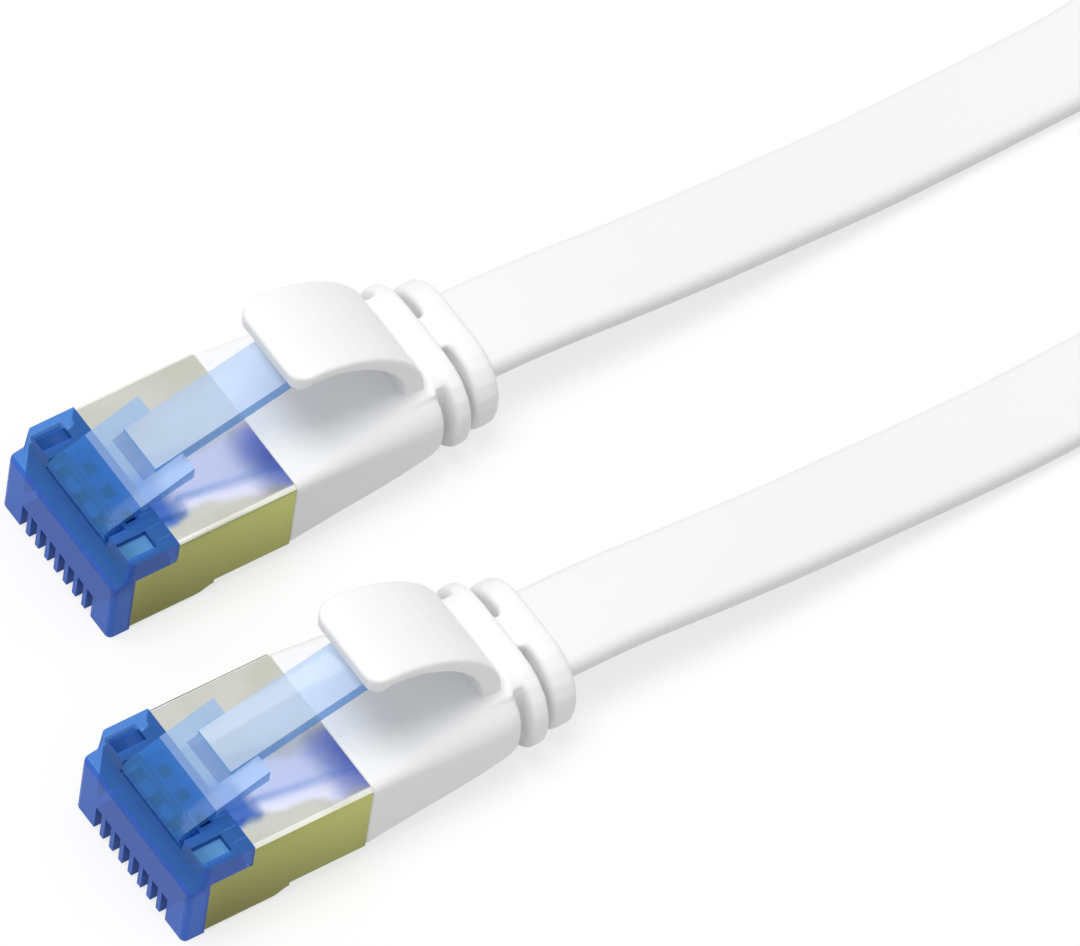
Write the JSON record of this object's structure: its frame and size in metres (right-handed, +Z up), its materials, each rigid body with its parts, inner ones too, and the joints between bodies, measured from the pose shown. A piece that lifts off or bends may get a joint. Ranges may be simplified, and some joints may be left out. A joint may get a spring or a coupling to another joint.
{
  "type": "ethernet patch cable",
  "caption": "Flat shielded network patch cable: a modular plug with sprung latch, metal shield and ringed boot on each end of a ribbon jacket, spare length folded in a tied hank.",
  "frame": {"origin": "centre of the two plugs' bounding box, on the surface they lie on", "axes": "+X from the plugs' noses towards the cable, +Y across from plug B to plug A, +Z up from the contact side to the latch side"},
  "size_m": [0.1873, 0.0438, 0.0152],
  "materials": {
    "housing_polycarbonate": "translucent blue, clear moulded",
    "latch_polycarbonate": "translucent blue, clear moulded",
    "load_bar_plastic": "translucent",
    "shield_metal": "nickel plated, slightly warm",
    "boot_pvc": "satin white, soft",
    "jacket_pvc": "satin white, flexible",
    "contact_gold": "gold plated",
    "tie_nylon": "natural white, flexible",
    "wire_white_orange": "insulated conductor",
    "wire_orange": "insulated conductor",
    "wire_white_green": "insulated conductor",
    "wire_blue": "insulated conductor",
    "wire_white_blue": "insulated conductor",
    "wire_green": "insulated conductor",
    "wire_white_brown": "insulated conductor",
    "wire_brown": "insulated conductor"
  },
  "bodies": {
    "cable_assembly": {"plug_a_housing": "housing_polycarbonate", "plug_a_load_bar": "load_bar_plastic", "plug_a_shield": "shield_metal", "plug_a_boot": "boot_pvc", "plug_a_contact_1": "contact_gold", "plug_a_contact_2": "contact_gold", "plug_a_contact_3": "contact_gold", "plug_a_contact_4": "contact_gold", "plug_a_contact_5": "contact_gold", "plug_a_contact_6": "contact_gold", "plug_a_contact_7": "contact_gold", "plug_a_contact_8": "contact_gold", "plug_a_wire_1": "wire_white_orange", "plug_a_wire_2": "wire_orange", "plug_a_wire_3": "wire_white_green", "plug_a_wire_4": "wire_blue", "plug_a_wire_5": "wire_white_blue", "plug_a_wire_6": "wire_green", "plug_a_wire_7": "wire_white_brown", "plug_a_wire_8": "wire_brown", "plug_b_housing": "housing_polycarbonate", "plug_b_load_bar": "load_bar_plastic", "plug_b_shield": "shield_metal", "plug_b_boot": "boot_pvc", "plug_b_contact_1": "contact_gold", "plug_b_contact_2": "contact_gold", "plug_b_contact_3": "contact_gold", "plug_b_contact_4": "contact_gold", "plug_b_contact_5": "contact_gold", "plug_b_contact_6": "contact_gold", "plug_b_contact_7": "contact_gold", "plug_b_contact_8": "contact_gold", "plug_b_wire_1": "wire_white_orange", "plug_b_wire_2": "wire_orange", "plug_b_wire_3": "wire_white_green", "plug_b_wire_4": "wire_blue", "plug_b_wire_5": "wire_white_blue", "plug_b_wire_6": "wire_green", "plug_b_wire_7": "wire_white_brown", "plug_b_wire_8": "wire_brown", "cable_run_a": "jacket_pvc", "cable_hank": "jacket_pvc", "cable_run_b": "jacket_pvc", "hank_tie": "tie_nylon"},
    "latch_a": {"plug_a_latch": "latch_polycarbonate"},
    "guard_a": {"plug_a_latch_guard": "boot_pvc"},
    "latch_b": {"plug_b_latch": "latch_polycarbonate"},
    "guard_b": {"plug_b_latch_guard": "boot_pvc"}
  },
  "joints": [
    {"name": "latch_a_press", "type": "hinge", "parent": "cable_assembly", "child": "latch_a", "pos_m": [-0.00886, 0.01044, 0.00635], "axis": [0, 1, 0], "range_deg": [0, 12], "stiffness_Nm_per_rad": 0.05},
    {"name": "guard_a_press", "type": "hinge", "parent": "cable_assembly", "child": "guard_a", "pos_m": [0.01269, 0.01044, 0.00675], "axis": [0, -1, 0], "range_deg": [0, 17], "stiffness_Nm_per_rad": 0.02},
    {"name": "latch_b_press", "type": "hinge", "parent": "cable_assembly", "child": "latch_b", "pos_m": [-0.01715, -0.01044, 0.00635], "axis": [0, 1, 0], "range_deg": [0, 12], "stiffness_Nm_per_rad": 0.05},
    {"name": "guard_b_press", "type": "hinge", "parent": "cable_assembly", "child": "guard_b", "pos_m": [0.00441, -0.01044, 0.00675], "axis": [0, -1, 0], "range_deg": [0, 17], "stiffness_Nm_per_rad": 0.02}
  ],
  "couplings": [
    {"joint": "guard_a_press", "follows": "latch_a_press", "ratio": 1.4},
    {"joint": "guard_b_press", "follows": "latch_b_press", "ratio": 1.4}
  ]
}
